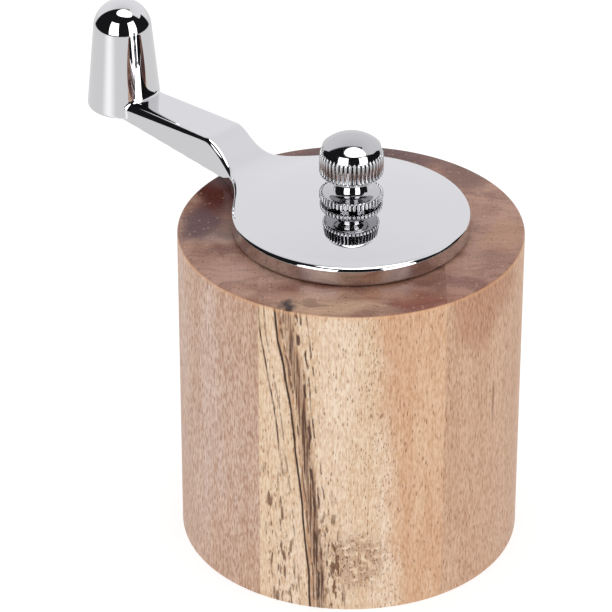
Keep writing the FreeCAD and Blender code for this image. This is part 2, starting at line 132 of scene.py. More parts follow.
def along(vector):
    return node(air, "VectorMath", {0: direction, 1: vector}, out=1, operation="DOT_PRODUCT")


front = along((math.sin(VIEW_AZIMUTH), -math.cos(VIEW_AZIMUTH), 0.0))
right = along((math.cos(VIEW_AZIMUTH), math.sin(VIEW_AZIMUTH), 0.0))
rise = along((0.0, 0.0, 1.0))
bearing = calc(air, "ARCTAN2", right, front)
height = calc(air, "ARCSINE", rise)


def strip_light(left, right_side, foot, top):
    """An upright soft box between two bearings and two elevations, in degrees."""
    across = inside(air, bearing, math.radians(left), math.radians(right_side), STRIP_SOFTNESS)
    upright = inside(air, height, math.radians(foot), math.radians(top), STRIP_SOFTNESS)
    return calc(air, "MULTIPLY", across, upright)


def overhead_lamp(rightwards, forwards, half_width, half_depth):
    """A wide oval lamp above the table, placed by the components of its direction."""
    across = calc(air, "DIVIDE", calc(air, "SUBTRACT", right, rightwards), half_width)
    deep = calc(air, "DIVIDE", calc(air, "SUBTRACT", front, forwards), half_depth)
    far = calc(air, "ADD", calc(air, "MULTIPLY", across, across), calc(air, "MULTIPLY", deep, deep))
    return calc(air, "MULTIPLY", fade(air, far, 0.85, 1.15, 1.0, 0.0), fade(air, rise, 0.0, 0.1))


# the tent's front edge leans back overhead, and comes forward again high on the right
tent_edge = calc(air, "MULTIPLY_ADD", rise, 0.36, -0.57)
upper_right = fade(air, calc(air, "MULTIPLY", right, rise), 0.34, 0.42, 0.0, 0.35)
tent_edge = calc(air, "ADD", tent_edge, upper_right)
opening = fade(air, calc(air, "SUBTRACT", front, tent_edge), -0.03, 0.03)
above_table = fade(air, height, math.radians(-14), math.radians(-12.5))
dark_room = calc(air, "MULTIPLY", opening, above_table)
overhead = fade(air, height, math.radians(35), math.radians(85))
tent = blend(air, overhead, TENT_SIDE, TENT_ROOF)
table_glow = calc(
    air, "MULTIPLY",
    inside(air, bearing, math.radians(-62), math.radians(-34), math.radians(14)),
    fade(air, height, math.radians(-4), math.radians(-18)),
)
table = blend(air, table_glow, TABLE_DIM, TABLE_LIT)
shell = blend(air, fade(air, height, math.radians(-6), math.radians(2)), table, tent)
room = blend(air, dark_room, shell, DARK_WALL)
lights = calc(air, "MAXIMUM", strip_light(-50, -13, -10, 38), strip_light(29, 60, -12, 38))
lights = calc(air, "MAXIMUM", lights, overhead_lamp(0.14, 0.12, 0.44, 0.28))
lit_room = blend(air, lights, room, LAMP_WHITE)
# matt surfaces are lit by an even sky, without the strips and the dark room
soft_light = blend(air, fade(air, height, 0.0, math.radians(80)), SOFT_SIDE, SOFT_ROOF)
seen = node(air, "LightPath", out="Is Camera Ray")
mirrored = node(air, "LightPath", out="Is Glossy Ray")
light = blend(air, mirrored, soft_light, lit_room)
sky = node(air, "Background", {"Color": blend(air, seen, light, BACKDROP)})
node(air, "OutputWorld", {"Surface": sky})

FLOOR_R = 4.0
FLOOR_SIDES = 96
FLOOR_GREY = (0.45, 0.45, 0.45, 1)
FLOOR_GLOW = 0.66
floor_mesh = bpy.data.meshes.new("floor")
sheet = bmesh.new()
bmesh.ops.create_circle(sheet, cap_ends=True, radius=FLOOR_R, segments=FLOOR_SIDES)
sheet.to_mesh(floor_mesh)
sheet.free()
floor = bpy.data.objects.new("floor", floor_mesh)
bpy.context.scene.collection.objects.link(floor)
floor.visible_glossy = False


def new_material(name):
    """An empty material and its node tree."""
    material = bpy.data.materials.new(name)
    material.use_nodes = True
    material.node_tree.nodes.clear()
    return material, material.node_tree


def finish_material(tree, shader):
    node(tree, "OutputMaterial", {"Surface": shader})


paper, tree = new_material("pale_floor")
matt = node(tree, "BsdfDiffuse", {"Color": FLOOR_GREY})
glow = node(tree, "Emission", {"Color": BACKDROP, "Strength": FLOOR_GLOW})
finish_material(tree, node(tree, "AddShader", {0: matt, 1: glow}))
floor.data.materials.append(paper)


# ---------------------------------------------------------------- the wooden block
# Three acacia boards glued side by side, bored for the hopper, turned round and sanded, with
# both rims barely eased. The end grain on top has soaked up more oil, so it is much darker.
MM = 0.001
BLOCK_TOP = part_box("body_board_centre")[1][2]
BLOCK_R = 35.0 * MM
GLUE_OFFSET = 18.4 * MM
BORE_R = 17.0 * MM
MOUTH_SEAT_R = 21.1 * MM
MOUTH_SEAT_DEPTH = 0.95 * MM
RECESS_R = 24.0 * MM
RECESS_DEPTH = 3.3 * MM
FOOT_EASE, RIM_EASE, MOUTH_EASE = 0.35 * MM, 0.6 * MM, 0.15 * MM
TURNING_STEPS = 288
TOP_MM = BLOCK_TOP / MM
WELD = 1e-7
THROUGH_BLOCK = 400      # a reach, in millimetres, that takes in the block's whole height


def eased(corners, steps=6):
    """A closed outline of (radius, height, rounding) corners, each rounded by an arc."""
    outline = []
    for i, (r, z, rounding) in enumerate(corners):
        here = Vector((r, z))
        if not rounding:
            outline.append(here)
            continue
        before = (Vector(corners[i - 1][:2]) - here).normalized()
        after = (Vector(corners[(i + 1) % len(corners)][:2]) - here).normalized()
        half = before.angle(after) / 2
        centre = here + (before + after).normalized() * (rounding / math.sin(half))
        first = here + before * (rounding / math.tan(half)) - centre
        last = here + after * (rounding / math.tan(half)) - centre
        sweep = first.angle_signed(last)
        for step in range(steps + 1):
            turned = first.copy()
            turned.rotate(Matrix.Rotation(-sweep * step / steps, 2))
            outline.append(centre + turned)
    return outline


def lathe(outline, steps, closed=True):
    """Turns an outline about Z; an open outline starts and ends on the axis."""
    made = bmesh.new()
    verts = [made.verts.new((p[0], 0.0, p[1])) for p in outline]
    edges = [made.edges.new((a, b)) for a, b in zip(verts, verts[1:])]
    if closed:
        edges.append(made.edges.new((verts[-1], verts[0])))
    bmesh.ops.spin(
        made, geom=verts + edges, axis=(0, 0, 1), cent=(0, 0, 0),
        steps=steps, angle=2 * math.pi, use_merge=True,
    )
    bmesh.ops.remove_doubles(made, verts=made.verts, dist=WELD)
    bmesh.ops.recalc_face_normals(made, faces=made.faces)
    return made


def add_piece(name, made, material, sharp_degrees=35.0):
    """Makes an object from a bmesh, smooth but for its sharp corners."""
    mesh = bpy.data.meshes.new(name)
    made.to_mesh(mesh)
    made.free()
    mesh.shade_smooth()
    mesh.set_sharp_from_angle(angle=math.radians(sharp_degrees))
    piece = bpy.data.objects.new(name, mesh)
    bpy.context.scene.collection.objects.link(piece)
    mesh.materials.append(material)
    return piece


def paint(red, green, blue):
    """A colour from its display values, 0 to 255."""
    return tuple(((c / 255 + 0.055) / 1.055) ** 2.4 for c in (red, green, blue)) + (1.0,)


def grain_place(tree):
    """Millimetres along s, across the boards, t, into the block, and z, up the grain."""
    here = node(tree, "TexCoord", out="Object")
    return node(tree, "Mapping", {0: here, 2: (0, 0, -VIEW_AZIMUTH), 3: (1 / MM, 1 / MM, 1 / MM)})


def in_cells(tree, at, size, shift):
    """The place counted in cells of this size, moved on by shift so that no two boards match."""
    return node(tree, "Mapping", {
        0: at, 1: (shift, shift, shift), 3: [1 / width for width in size],
    })


def cloud(tree, at, size, detail=2.0, shift=0.0, out=0):
    """Noise whose patches are about size millimetres along s, t and z."""
    cells = in_cells(tree, at, size, shift)
    return node(tree, "TexNoise", {"Vector": cells, "Scale": 1.0, "Detail": detail}, out=out)


def pores(tree, at, size, share, shift=0.0):
    """Short dark dashes, one in each of a share of the cells of this size."""
    cells = in_cells(tree, at, size, shift)
    near = node(tree, "TexVoronoi", {"Vector": cells, "Scale": 1.0}, out="Distance")
    lot = node(tree, "SeparateXYZ", {0: near.node.outputs["Color"]})
    chosen = calc(tree, "LESS_THAN", lot, share)
    return calc(tree, "MULTIPLY", fade(tree, near, 0.20, 0.36, 1.0, 0.0), chosen)


def streak(tree, u, centre, half, soft):
    """1 on a line of grain and 0 beside it."""
    gap = calc(tree, "ABSOLUTE", calc(tree, "SUBTRACT", u, centre))
    return fade(tree, gap, half, half + soft, 1.0, 0.0)


def spot(tree, at, centre, reach, soft=0.7):
    """1 at the centre of an ellipsoid, falling to 0 at its skin."""
    moved = node(tree, "Mapping", {0: at, 1: centre, 3: reach}, vector_type="TEXTURE")
    far = node(tree, "VectorMath", {0: moved}, out="Value", operation="LENGTH")
    return fade(tree, far, 1.0 - soft, 1.0, 1.0, 0.0)


def times(tree, *masks):
    """The product of masks and numbers."""
    product = masks[0]
    for mask in masks[1:]:
        product = calc(tree, "MULTIPLY", product, mask)
    return product


# (place across and into the block, reach, colour, strength) of the marks all boards share
# the first mark, dark brown at the back left, is painted shade under the crank's arm
TOP_MARKS_AND_ARM_SHADE = (
    ((-27, 14), (10, 15), paint(84, 34, 26), 0.85),
    ((-31, 1), (7, 9), paint(86, 58, 62), 0.75),
    ((-25, -9), (8, 3.5), paint(108, 62, 50), 0.65),
    ((-20, -19), (11, 7), paint(190, 156, 140), 0.55),
    ((14, -28), (10, 4.5), paint(134, 72, 46), 0.65),
    ((4, 30), (36, 8), paint(88, 60, 62), 0.70),
    ((30, -14), (5, 8), paint(138, 96, 86), 0.45),
)
RING_BROWN = paint(70, 40, 32)
PORE_BROWN = paint(60, 34, 26)
PORE_GLINT = paint(215, 180, 150)
RIM_HIGHLIGHT = paint(226, 168, 118)
OILED_SHEEN = 0.22


def acacia(name, shift, tones, top_tones, top_spots, figure):
    """Oiled acacia; figure(tree, at, s, z, tone) adds the marks of one board to its side."""
    material, tree = new_material(name)
    at = grain_place(tree)
    s, z = (node(tree, "SeparateXYZ", {0: at}, out=axis) for axis in (0, 2))
    wide = cloud(tree, at, (5, 9, 55), 3.0, shift)
    fibre = cloud(tree, at, (0.30, 0.30, 7), 2.0, shift)
    fleck = cloud(tree, at, (0.34, 0.34, 1.5), 2.0, shift)
    tone = blend(tree, fade(tree, wide, 0.36, 0.62), tones[0], tones[1])
    tone = figure(tree, at, s, z, tone)
    tone = blend(tree, fade(tree, fibre, 0.35, 0.75, 0.0, 0.50), tone, tones[2], "MULTIPLY")
    tone = blend(tree, fade(tree, fleck, 0.38, 0.64), tone, tones[2], "MULTIPLY")
    pore = pores(tree, at, (0.36, 0.36, 2.0), 0.26, shift)
    deep = times(tree, pore, fade(tree, wide, 0.2, 0.7, 0.4, 0.9))
    tone = blend(tree, deep, tone, tones[3], "MULTIPLY")
    # end grain: dark where it drank most oil, with rings, rays and fine pores
    swirl = node(tree, "VectorMath", {
        0: cloud(tree, at, (9, 9, 9), 3.0, shift, out="Color"), 1: (0.5, 0.5, 0.5),
    }, operation="SUBTRACT")
    swirl = node(tree, "VectorMath", {0: swirl, "Scale": 14.0}, operation="SCALE")
    bent = node(tree, "VectorMath", {0: at, 1: swirl}, operation="ADD")
    end = blend(tree, fade(tree, cloud(tree, at, (7, 4, 9), 4.0, shift), 0.38, 0.62), *top_tones)
    # besides the wood's own blotches, the set marks hold painted shade under the arm and a painted
    # sheen
    for centre, reach, colour, strength in top_spots + TOP_MARKS_AND_ARM_SHADE:
        mask = spot(tree, bent, centre + (TOP_MM,), reach + (THROUGH_BLOCK,))
        end = blend(tree, times(tree, mask, strength), end, colour)
    ring = cloud(tree, bent, (40, 1.1, 40), 3.0, shift)
    end = blend(tree, fade(tree, ring, 0.50, 0.66, 0.0, 0.22), end, RING_BROWN)
    dot = pores(tree, at, (0.8, 0.8, 4), 0.30, shift)
    end = blend(tree, times(tree, dot, 0.40), end, PORE_BROWN)
    glint = pores(tree, at, (0.9, 0.9, 4), 0.16, shift + 5)
    end = blend(tree, times(tree, glint, 0.30), end, PORE_GLINT)
    on_top = fade(tree, z, TOP_MM - 0.42, TOP_MM - 0.12)
    # painted highlight: a lighter amber band on the side, just under the eased top rim
    rim = times(tree, fade(tree, z, TOP_MM - 1.3, TOP_MM - 0.45), 0.34)
    tone = blend(tree, rim, tone, RIM_HIGHLIGHT)
    tone = blend(tree, on_top, tone, end)
    rough = fade(tree, fleck, 0.3, 0.7, 0.42, 0.54)
    rough = calc(tree, "ADD", rough, calc(tree, "MULTIPLY", on_top, -0.17))
    height = calc(tree, "MULTIPLY_ADD", pore, -0.8, fibre)
    bump = node(tree, "Bump", {"Strength": 0.22, "Distance": 0.00006, "Height": height})
    finish_material(tree, node(tree, "BsdfPrincipled", {
        "Base Color": tone, "Roughness": rough, "Normal": bump, "Specular IOR Level": OILED_SHEEN,
    }))
    return material


def plain_figure(tree, at, s, z, tone):
    """The left board: fine, even and pinkish, a little redder towards its foot."""
    low = fade(tree, z, 2.0, 26.0, 0.30, 0.0)
    tone = blend(tree, low, tone, paint(204, 160, 130))
    inner = fade(tree, s, -30.0, -20.0, 0.0, 0.35)
    tone = blend(tree, inner, tone, paint(196, 154, 124))
    pale = fade(tree, cloud(tree, at, (2, 2, 10), 3.0, 21.0), 0.50, 0.66, 0.0, 0.40)
    return blend(tree, pale, tone, paint(218, 190, 166))


def spalted_figure(tree, at, s, z, tone):
    """The middle board: black-brown lines on the left, orange heartwood on the right."""
    climb = calc(tree, "SUBTRACT", z, TOP_MM)
    bow = calc(tree, "SINE", calc(tree, "MULTIPLY", z, math.pi / TOP_MM))
    drift = calc(tree, "MULTIPLY_ADD", cloud(tree, at, (26, 60, 22), 2.0, 2.0), 2.4, -1.2)
    fray = calc(tree, "MULTIPLY_ADD", cloud(tree, at, (0.7, 0.7, 3.5), 3.0, 4.0), 2.0, -1.0)
    u = calc(tree, "MULTIPLY_ADD", climb, 0.10, s)
    u = calc(tree, "SUBTRACT", u, bow)
    u = calc(tree, "ADD", u, drift)
    ragged = calc(tree, "ADD", u, calc(tree, "MULTIPLY", fray, 0.45))
    ripple = cloud(tree, at, (2.2, 2.2, 0.5), 2.0, 9.0)
    tone = blend(tree, fade(tree, ripple, 0.48, 0.66, 0.0, 0.30), tone, paint(243, 226, 202))
    # orange heartwood
    h = calc(tree, "MULTIPLY_ADD", climb, 0.067, s)
    h = calc(tree, "MULTIPLY_ADD", cloud(tree, at, (4, 20, 9), 5.0, 6.0), 8.0, h)
    heart = fade(tree, h, 6.4, 11.2)
    amber = blend(tree, fade(tree, cloud(tree, at, (4, 8, 26), 3.0, 8.0), 0.38, 0.62),
                  paint(226, 191, 161), paint(219, 180, 149))
    tone = blend(tree, heart, tone, amber)
    verge = streak(tree, h, 7.4, 0.5, 3.4)
    dust = pores(tree, at, (0.36, 0.36, 1.1), 0.60, 12.0)
    tone = blend(tree, times(tree, dust, verge, 0.66), tone, paint(126, 82, 56))
    dash = pores(tree, at, (0.46, 0.46, 1.5), 0.16, 14.0)
    tone = blend(tree, times(tree, dash, 0.62), tone, paint(126, 84, 60))
    # brown cloud near the foot
    patchy = cloud(tree, at, (1.6, 9, 1.4), 3.0, 15.0)
    low_down = spot(tree, at, (1.0, 0, 12.0), (8.0, 200, 9.0), 0.6)
    haze = times(tree, low_down, fade(tree, patchy, 0.38, 0.52))
    crumbs = pores(tree, at, (0.42, 0.42, 0.9), 0.80, 16.0)
    tone = blend(tree, times(tree, haze, 0.55), tone, paint(168, 130, 104))
    tone = blend(tree, times(tree, haze, crumbs, 0.95), tone, paint(84, 56, 42))
    # blotches between the lines and the left glue joint, and right of the wide band
    blot = fade(tree, cloud(tree, at, (0.65, 0.65, 3.6), 4.0, 18.0), 0.53, 0.62)
    foot = fade(tree, z, 44.0, 22.0)
    patch = times(tree, streak(tree, u, -20.6, 1.8, 1.6), foot, blot, 0.85)
    tone = blend(tree, patch, tone, paint(112, 78, 56))
    blot = fade(tree, cloud(tree, at, (0.8, 0.8, 3.0), 4.0, 19.0), 0.52, 0.62)
    foot = fade(tree, z, 32.0, 18.0)
    patch = times(tree, streak(tree, u, -10.4, 1.5, 1.5), foot, blot, 0.90)
    tone = blend(tree, patch, tone, paint(112, 76, 52))
    # the lines themselves, pale halos first and the black one last
    warm = paint(182, 138, 104)
    brown = paint(118, 84, 62)
    dark = paint(88, 62, 50)
    black = paint(46, 32, 26)
    worn = fade(tree, cloud(tree, at, (0.6, 0.6, 5.0), 3.0, 20.0), 0.36, 0.56, 0.25, 1.0)
    heavy = fade(tree, cloud(tree, at, (0.5, 9, 11), 3.0, 22.0), 0.36, 0.54, 0.45, 1.0)
    gaps = fade(tree, cloud(tree, at, (2, 9, 4.0), 2.0, 24.0), 0.44, 0.54)
    thread = fade(tree, cloud(tree, at, (0.26, 0.26, 14), 2.0, 26.0), 0.42, 0.58, 0.20, 1.0)
    upper = fade(tree, z, 26.0, 40.0)
    from_waist = calc(tree, "ABSOLUTE", calc(tree, "SUBTRACT", z, 33.0))
    middle = fade(tree, from_waist, 18.0, 40.0, 1.0, 0.35)
    lean = calc(tree, "MULTIPLY_ADD", climb, -0.03, ragged)
    steady = calc(tree, "ADD", u, calc(tree, "MULTIPLY", fray, 0.16))
    for line, place, half, soft, colour, strength in (
        (ragged, -13.3, 0.8, 1.5, warm, times(tree, worn, 0.60)),
        (ragged, -15.1, 0.30, 0.8, warm, times(tree, worn, 0.7)),
        (ragged, -13.2, 0.50, 0.8, brown, times(tree, thread, middle)),
        (ragged, -13.5, 0.14, 0.40, dark, times(tree, heavy, thread)),
        (ragged, -12.9, 0.08, 0.30, dark, times(tree, middle, thread)),
        (ragged, -14.0, 0.06, 0.24, dark, times(tree, thread, worn)),
        (ragged, -14.55, 0.05, 0.22, dark, times(tree, gaps, 0.8)),
        (u, -18.7, 0.06, 0.20, dark, times(tree, upper, worn)),
        (u, -17.6, 0.04, 0.25, dark, times(tree, gaps, 0.55)),
        (lean, -11.6, 0.12, 0.26, dark, times(tree, gaps, 0.95)),
        (lean, -10.7, 0.06, 0.22, dark, times(tree, gaps, worn)),
        (lean, -9.6, 0.05, 0.20, dark, times(tree, gaps, worn, 0.85)),
        (steady, -15.45, 0.12, 0.16, black, 0.96),
    ):
        mask = streak(tree, line, place, half, soft)
        tone = blend(tree, times(tree, mask, strength), tone, colour)
    return tone


def tan_figure(tree, at, s, z, tone):
    """The right board: pinkish tan, with a redder wedge under the rim and one dark hair."""
    bend = calc(tree, "MULTIPLY_ADD", cloud(tree, at, (8, 8, 12), 2.0, 30.0), 6.0, -3.0)
    lean = calc(tree, "ADD", s, bend)
    wedge = node(tree, "CombineXYZ", {0: lean, 2: z})
    wedge = spot(tree, wedge, (25.5, 0, TOP_MM), (7.5, 200, 17.0), 0.35)
    tone = blend(tree, times(tree, wedge, 0.62), tone, paint(186, 138, 110))
    hair = times(tree, streak(tree, s, 28.4, 0.05, 0.3), inside(tree, z, 37.0, 45.0, 2.0), 0.6)
    tone = blend(tree, hair, tone, paint(120, 76, 56))
    dash = pores(tree, at, (0.46, 0.46, 1.8), 0.18, 34.0)
    return blend(tree, times(tree, dash, 0.55), tone, paint(128, 86, 64))


def board(name, low, high, material):
    """The slice of the turned block between two planes across the glue direction."""
    made = lathe(eased([
        (RECESS_R, 0.0, 0.0),
        (BLOCK_R, 0.0, FOOT_EASE),
        (BLOCK_R, BLOCK_TOP, RIM_EASE),
        (MOUTH_SEAT_R, BLOCK_TOP, MOUTH_EASE),
        (MOUTH_SEAT_R, BLOCK_TOP - MOUTH_SEAT_DEPTH, 0.0),
        (BORE_R, BLOCK_TOP - MOUTH_SEAT_DEPTH, 0.0),
        (BORE_R, RECESS_DEPTH, 0.0),
        (RECESS_R, RECESS_DEPTH, 0.0),
    ]), TURNING_STEPS)
    across = Vector((math.cos(VIEW_AZIMUTH), math.sin(VIEW_AZIMUTH), 0))
    for offset, keep in ((low, 1), (high, -1)):
        if offset is None:
            continue
        cut = bmesh.ops.bisect_plane(
            made, geom=made.verts[:] + made.edges[:] + made.faces[:],
            plane_co=across * offset, plane_no=across * keep, clear_inner=True,
        )
        rim = [e for e in cut["geom_cut"] if isinstance(e, bmesh.types.BMEdge)]
        caps = bmesh.ops.holes_fill(made, edges=rim, sides=0)["faces"]
        bmesh.ops.triangulate(made, faces=caps)
    bmesh.ops.recalc_face_normals(made, faces=made.faces)
    return add_piece(name, made, material)


left_wood = acacia(
    "acacia_left", 0.0,
    (paint(219, 197, 184), paint(210, 181, 162), paint(222, 206, 196), paint(178, 146, 128)),
    (paint(146, 106, 88), paint(168, 130, 112)),
    (
        # the first and third marks are painted shade, darkest where the top runs in under the
        # crank's arm
        ((-27.0, 14.0), (11.0, 13.0), paint(80, 38, 30), 0.95),
        ((-31.0, 3.0), (5.5, 8.0), paint(84, 50, 54), 0.70),
        ((-22.0, 22.0), (5.0, 5.0), paint(58, 34, 28), 0.8),
        # the pale grey band is a painted sheen on the oiled top
        ((-26.0, -3.0), (8.0, 4.5), paint(166, 138, 128), 0.6),
        ((-25.0, -1.5), (3.0, 4.0), paint(88, 62, 62), 0.4),
        ((-22.0, -19.0), (9.0, 6.0), paint(150, 106, 90), 0.7),
    ),
    plain_figure,
)
piece = board("board_left", None, -GLUE_OFFSET, left_wood)
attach(piece, "block")
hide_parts("body_board_left")

middle_wood = acacia(
    "acacia_middle", 40.0,
    (paint(239, 218, 196), paint(231, 206, 178), paint(236, 224, 212), paint(186, 154, 132)),
    (paint(136, 96, 82), paint(156, 116, 100)),
    (
        ((0.0, 30.0), (16.0, 8.0), paint(84, 56, 52), 0.8),
        ((-4.0, -30.5), (17.0, 6.5), paint(184, 148, 122), 0.95),
        ((-13.0, -31.0), (2.2, 3.5), paint(52, 38, 40), 0.95),
        ((-7.0, -28.6), (6.0, 1.2), paint(104, 72, 60), 0.5),
        ((13.0, -29.5), (9.0, 2.8), paint(122, 70, 66), 0.9),
        ((8.0, -26.0), (7.0, 2.5), paint(168, 124, 98), 0.7),
    ),
    spalted_figure,
)
piece = board("board_middle", -GLUE_OFFSET, GLUE_OFFSET, middle_wood)
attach(piece, "block")
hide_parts("body_board_centre")

right_wood = acacia(
    "acacia_right", 80.0,
    (paint(216, 182, 155), paint(209, 173, 146), paint(232, 220, 210), paint(182, 148, 128)),
    (paint(156, 116, 100), paint(176, 136, 118)),
    (
        ((24.0, 22.0), (9.0, 9.0), paint(104, 70, 62), 0.75),
        ((21.0, -22.0), (7.0, 5.0), paint(120, 76, 72), 0.7),
        ((30.0, -4.0), (6.0, 13.0), paint(176, 132, 106), 0.6),
    ),
    tan_figure,
)
piece = board("board_right", GLUE_OFFSET, None, right_wood)
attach(piece, "block")
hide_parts("body_board_right")


# ---------------------------------------------------------------- the crank
# One zinc casting, polished and chromed: a domed disc that covers the filling mouth, an arm
# that climbs off its rim and runs out level, and an upright tapered grip, cored from below.
DISC_R = 24.0
DISC_UNDER = 0.3         # heights above the block, in millimetres
DISC_RIM = 3.96
DISC_CROWN = 6.72
RIM_ROUND = 0.95
UNDER_ROUND = 0.3
ARM_TO_DOME_FILLET = 0.6
ARM_STEEPEN = 0.28       # keeps the climb's edge rounding even where the arm is steep
ARM_EDGE_GROWTH = 1.3    # how much softer the arm's upper edges are at the grip
LIP_MEAN_R, LIP_HALF_W, LIP_FOOT = 14.3, 1.1, -2.7
BOSS_R = 6.5
POCKET_TOP = 2.2
WALL_OVERLAP = 1.0
SQUARE_HALF = 2.85
ARM_HALF_W = 5.0
ARM_ROOT_ROUND = 10.0
ARM_LOW_Z, ARM_BEND_Z, ARM_END_Z = 3.96, 8.65, 7.95
ARM_CLIMB = (27.0, 37.0)
ARM_UNDER_RISE = 0.095
GRIP_X = 66.1
GRIP_BALL_R, GRIP_BALL_Z = 6.15, 22.15
GRIP_TAPER = 0.0946
GRIP_FOOT = 4.3
GRIP_FOOT_ROUND, GRIP_FILLET, GRIP_CORE_ROUND = 0.8, 0.45, 2.0
GRIP_CORE_R, GRIP_CORE_TAPER, GRIP_CORE_TOP = 5.4, 0.055, 22.0
CAST_CELL = 0.42         # spacing of the lattice that the casting's skin is drawn on
CAST_LOW, CAST_HIGH = (-76.0, -26.0, -4.0), (26.0, 26.0, 30.0)
SMOOTHING_ROUNDS, SETTLING_ROUNDS = 3, 6


def round_in(a, b, r):
    """What lies in both a and b, its outer corner rounded to radius r."""
    reach = np.sqrt(np.maximum(a + r, 0) ** 2 + np.maximum(b + r, 0) ** 2)
    return np.minimum(np.maximum(a, b), -r) + reach


def round_out(a, b, r):
    """What lies in a or b, with a hollow fillet of radius r where they meet."""
    return -round_in(-a, -b, r)


def casting(p):
    """Signed distance, in millimetres, from points p to the crank's surface."""
    x, y, z = p[:, 0], p[:, 1], p[:, 2]
    radius = np.hypot(x, y)
    out = -x
    dome_r = (DISC_R**2 + (DISC_CROWN - DISC_RIM) ** 2) / (2 * (DISC_CROWN - DISC_RIM))
    dome = np.sqrt(radius**2 + (z - DISC_CROWN + dome_r) ** 2) - dome_r
    # the arm's top: level with the rim, a climb in an S, then a long gentle fall
    share = np.clip((out - ARM_CLIMB[0]) / (ARM_CLIMB[1] - ARM_CLIMB[0]), 0, 1)
    climb = share**2 * (2.05 - 1.05 * share**2)
    past_bend = np.clip(out - ARM_CLIMB[1], 0, None) / (GRIP_X - ARM_CLIMB[1])
    fall = (ARM_BEND_Z - ARM_END_Z) * past_bend
    arm_top = ARM_LOW_Z + (ARM_BEND_Z - ARM_LOW_Z) * climb - fall
    steep = 1 + ARM_STEEPEN * np.sin(math.pi * share) ** 2
    top = round_out(dome, (z - arm_top) / steep, ARM_TO_DOME_FILLET)
    strip = np.maximum(np.abs(y) - ARM_HALF_W, out - GRIP_X)
    strip = np.maximum(strip, -out)
    plan = round_out(radius - DISC_R, strip, ARM_ROOT_ROUND)
    under = DISC_UNDER + ARM_UNDER_RISE * np.clip(out - DISC_R, 0, None) - z
    edge = RIM_ROUND + ARM_EDGE_GROWTH * np.minimum(past_bend, 1)
    body = round_in(round_in(top, plan, edge), under, UNDER_ROUND)
    # lip, boss and cored ring under the disc
    lip = np.maximum(np.abs(radius - LIP_MEAN_R) - LIP_HALF_W, LIP_FOOT - z)
    boss = np.maximum(radius - BOSS_R, LIP_FOOT - z)
    below = z - DISC_UNDER - WALL_OVERLAP
    body = np.minimum(body, np.maximum(np.minimum(lip, boss), below))
    pocket = np.maximum(BOSS_R - radius, radius - (LIP_MEAN_R - LIP_HALF_W))
    body = np.maximum(body, -np.maximum(pocket, z - POCKET_TOP))
    square = np.maximum(np.abs(x), np.abs(y)) - SQUARE_HALF
    body = np.maximum(body, -square)
    # the grip: a cone that runs into a ball, with a core drawn from below
    reach = np.hypot(x + GRIP_X, y)
    slant = math.hypot(1, GRIP_TAPER)
    side = reach / slant - GRIP_BALL_R - (GRIP_BALL_Z - z) * GRIP_TAPER / slant
    ball = np.hypot(reach, z - GRIP_BALL_Z) - GRIP_BALL_R
    grip = np.where(z - GRIP_BALL_Z > reach * GRIP_TAPER, ball, side)
    grip = round_in(grip, GRIP_FOOT - z, GRIP_FOOT_ROUND)
    core = reach - GRIP_CORE_R + GRIP_CORE_TAPER * (z - GRIP_FOOT)
    core = round_in(core, z - GRIP_CORE_TOP, GRIP_CORE_ROUND)
    body = round_out(body, grip, GRIP_FILLET)
    return round_in(body, -core, UNDER_ROUND)


